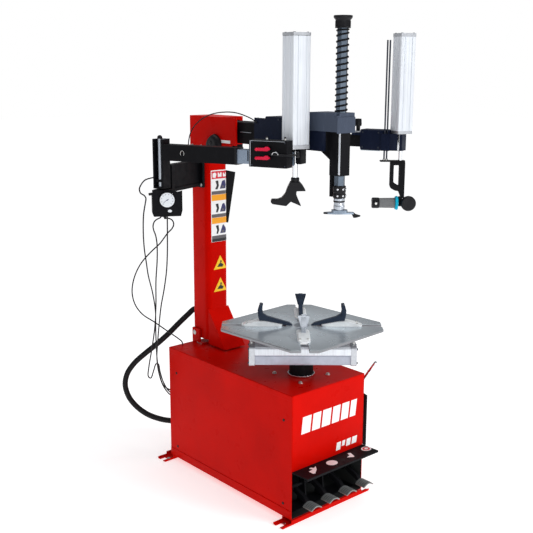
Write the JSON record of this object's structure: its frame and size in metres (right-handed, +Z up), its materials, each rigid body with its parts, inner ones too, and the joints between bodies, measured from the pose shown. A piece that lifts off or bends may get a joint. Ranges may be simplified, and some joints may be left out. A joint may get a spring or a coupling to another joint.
{
  "type": "tire changer machine",
  "caption": "Tilt-back tyre changer: red cabinet with pedals, jawed steel turntable, tilting column, mount head on a sprung hexagonal shaft, and two pneumatic assist arms.",
  "frame": {"origin": "on the floor, on the machine's centre plane, under the front foot rail", "axes": "+Z up, -Y towards the operator at the pedals, +X to the operator's right"},
  "size_m": [0.9099, 1.2092, 2.065],
  "materials": {
    "red_paint": "glossy red powder coat",
    "black_steel": "satin black textured powder coat",
    "dark_plastic": "dark slate grey moulded cover",
    "grey_metal": "light grey plated tread",
    "cast": "rough casting",
    "table_steel": "polished machined steel",
    "aluminium": "clear anodised profile",
    "chrome": "hard chromed rod",
    "slate_paint": "grey blue paint",
    "navy_paint": "navy black paint",
    "lever_red": "red lever",
    "press_rubber": "black nylon press foot",
    "spring_steel": "black coil spring",
    "hose_rubber": "black rubber and nylon tube"
  },
  "bodies": {
    "root": {"cabinet_top": "red_paint", "left_side_cover": "red_paint", "right_side_panel": "red_paint", "front_panel": "red_paint", "rear_cover": "red_paint", "cabinet_floor": "red_paint", "front_foot_rail": "red_paint", "rear_foot_rail": "red_paint", "bead_breaker_hinge": "red_paint", "column_hinge": "red_paint", "pedal_cover": "black_steel", "pedal_bracket": "black_steel", "gearbox": "cast", "motor": "cast", "bead_breaker_cylinder": "aluminium", "tilt_cylinder": "aluminium", "column_conduit": "hose_rubber"},
    "clamp_pedal": {"clamp_pedal": "grey_metal"},
    "column_tilt_pedal": {"column_tilt_pedal": "grey_metal"},
    "bead_breaker_pedal": {"bead_breaker_pedal": "grey_metal"},
    "turntable_pedal": {"turntable_pedal": "grey_metal"},
    "turntable": {"turntable_hub": "black_steel", "turntable_plate": "table_steel", "front_clamp_cylinder": "aluminium", "rear_clamp_cylinder": "aluminium"},
    "jaw_1": {"jaw_1": "table_steel"},
    "jaw_2": {"jaw_2": "table_steel"},
    "jaw_3": {"jaw_3": "table_steel"},
    "jaw_4": {"jaw_4": "table_steel"},
    "breaker_rod": {"bead_breaker_rod": "chrome"},
    "breaker_arm": {"bead_breaker_arm": "black_steel"},
    "column": {"column": "red_paint", "column_head": "red_paint", "left_bracket": "black_steel", "gauge_box": "black_steel", "right_bracket": "black_steel", "air_tube_top": "hose_rubber", "air_tube_rear": "hose_rubber", "air_tube_loop": "hose_rubber", "air_tube_side": "hose_rubber", "air_tube_arm": "hose_rubber"},
    "main_arm": {"main_arm": "black_steel", "lock_cover": "dark_plastic", "spindle_spring": "spring_steel"},
    "spindle": {"hex_shaft": "table_steel", "shaft_cap": "dark_plastic", "duckhead": "table_steel"},
    "left_arm": {"left_beam": "black_steel"},
    "left_slide": {"left_inner_tube": "slate_paint", "control_box": "dark_plastic", "left_cylinder": "aluminium"},
    "press_valve_lever": {"press_valve_lever": "lever_red"},
    "lift_valve_lever": {"lift_valve_lever": "lever_red"},
    "press_foot": {"bead_press_foot": "press_rubber"},
    "right_arm": {"right_beam": "black_steel"},
    "right_carriage": {"right_carriage": "navy_paint", "right_cylinder": "aluminium"},
    "roller_tool": {"roller_frame": "black_steel"},
    "press_roller": {"press_roller": "slate_paint"},
    "press_disc": {"press_disc": "dark_plastic"}
  },
  "joints": [
    {"name": "clamp_pedal_press", "type": "hinge", "parent": "root", "child": "clamp_pedal", "pos_m": [-0.133, 0.062, 0.122], "axis": [1, 0, 0], "range_deg": [0, 11], "stiffness_Nm_per_rad": 30, "springref_deg": -3.44},
    {"name": "column_tilt_pedal_press", "type": "hinge", "parent": "root", "child": "column_tilt_pedal", "pos_m": [-0.026, 0.062, 0.122], "axis": [1, 0, 0], "range_deg": [0, 11], "stiffness_Nm_per_rad": 30, "springref_deg": -3.44},
    {"name": "bead_breaker_pedal_press", "type": "hinge", "parent": "root", "child": "bead_breaker_pedal", "pos_m": [0.081, 0.062, 0.122], "axis": [1, 0, 0], "range_deg": [0, 11], "stiffness_Nm_per_rad": 30, "springref_deg": -3.44},
    {"name": "turntable_pedal_press", "type": "hinge", "parent": "root", "child": "turntable_pedal", "pos_m": [0.188, 0.062, 0.122], "axis": [1, 0, 0], "range_deg": [-7, 11], "stiffness_Nm_per_rad": 30, "springref_deg": -0.69},
    {"name": "turntable_spin", "type": "hinge", "parent": "root", "child": "turntable", "pos_m": [0, 0.16, 0.65], "axis": [0, 0, 1], "continuous": true},
    {"name": "jaw_1_slide", "type": "slide", "parent": "turntable", "child": "jaw_1", "axis": [0.7501, -0.6613, 0], "range_m": [-0.03, 0.085]},
    {"name": "jaw_2_slide", "type": "slide", "parent": "turntable", "child": "jaw_2", "axis": [0.6613, 0.7501, 0], "range_m": [-0.03, 0.085]},
    {"name": "jaw_3_slide", "type": "slide", "parent": "turntable", "child": "jaw_3", "axis": [-0.7501, 0.6613, 0], "range_m": [-0.03, 0.085]},
    {"name": "jaw_4_slide", "type": "slide", "parent": "turntable", "child": "jaw_4", "axis": [-0.6613, -0.7501, 0], "range_m": [-0.03, 0.085]},
    {"name": "bead_breaker_swing", "type": "hinge", "parent": "root", "child": "breaker_arm", "pos_m": [0.263, 0.71, 0.33], "axis": [0, 0, 1], "range_deg": [0, 38]},
    {"name": "bead_breaker_push", "type": "slide", "parent": "root", "child": "breaker_rod", "axis": [1, 0, 0], "range_m": [0, 0.16]},
    {"name": "column_tilt", "type": "hinge", "parent": "root", "child": "column", "pos_m": [0, 0.83, 0.622], "axis": [-1, 0, 0], "range_deg": [0, 22], "deforming": ["column_conduit", "air_tube_top", "air_tube_rear", "air_tube_loop", "air_tube_side"]},
    {"name": "main_arm_slide", "type": "slide", "parent": "column", "child": "main_arm", "axis": [0, 1, 0], "range_m": [-0.08, 0.09], "deforming": ["air_tube_arm"]},
    {"name": "spindle_slide", "type": "slide", "parent": "main_arm", "child": "spindle", "axis": [0, 0, -1], "range_m": [0, 0.19], "stiffness_N_per_m": 450, "springref_m": -0.4, "deforming": ["spindle_spring"]},
    {"name": "left_arm_swing", "type": "hinge", "parent": "column", "child": "left_arm", "pos_m": [-0.338, 0.697, 1.4], "axis": [0, 0, -1], "range_deg": [0, 80]},
    {"name": "left_arm_reach", "type": "slide", "parent": "left_arm", "child": "left_slide", "axis": [0.3541, -0.9352, 0], "range_m": [-0.09, 0.035]},
    {"name": "press_valve_tip", "type": "hinge", "parent": "left_slide", "child": "press_valve_lever", "pos_m": [-0.24341, 0.10835, 1.56], "axis": [-0.9352, -0.3541, 0], "range_deg": [-18, 18], "stiffness_Nm_per_rad": 0.6},
    {"name": "lift_valve_tip", "type": "hinge", "parent": "left_slide", "child": "lift_valve_lever", "pos_m": [-0.24341, 0.10835, 1.526], "axis": [-0.9352, -0.3541, 0], "range_deg": [-18, 18], "stiffness_Nm_per_rad": 0.6},
    {"name": "press_foot_stroke", "type": "slide", "parent": "left_slide", "child": "press_foot", "axis": [0, 0, -1], "range_m": [0, 0.28]},
    {"name": "right_arm_swing", "type": "hinge", "parent": "column", "child": "right_arm", "pos_m": [0.165, 0.8, 1.56], "axis": [0, 0, 1], "range_deg": [0, 70]},
    {"name": "right_arm_reach", "type": "slide", "parent": "right_arm", "child": "right_carriage", "axis": [0.3272, -0.9449, 0], "range_m": [-0.07, 0.06]},
    {"name": "roller_tool_stroke", "type": "slide", "parent": "right_carriage", "child": "roller_tool", "axis": [0, 0, -1], "range_m": [0, 0.28]},
    {"name": "press_roller_spin", "type": "hinge", "parent": "roller_tool", "child": "press_roller", "pos_m": [0.39185, 0.05461, 1.297], "axis": [0.7501, -0.6613, 0], "continuous": true},
    {"name": "press_disc_spin", "type": "hinge", "parent": "roller_tool", "child": "press_disc", "pos_m": [0.45363, -0.02652, 1.297], "axis": [-0.6613, -0.7501, 0], "continuous": true}
  ],
  "couplings": [
    {"joint": "jaw_2_slide", "follows": "jaw_1_slide", "ratio": 1},
    {"joint": "jaw_3_slide", "follows": "jaw_1_slide", "ratio": 1},
    {"joint": "jaw_4_slide", "follows": "jaw_1_slide", "ratio": 1},
    {"joint": "bead_breaker_push", "follows": "bead_breaker_swing", "m_per_rad": 0.24}
  ]
}
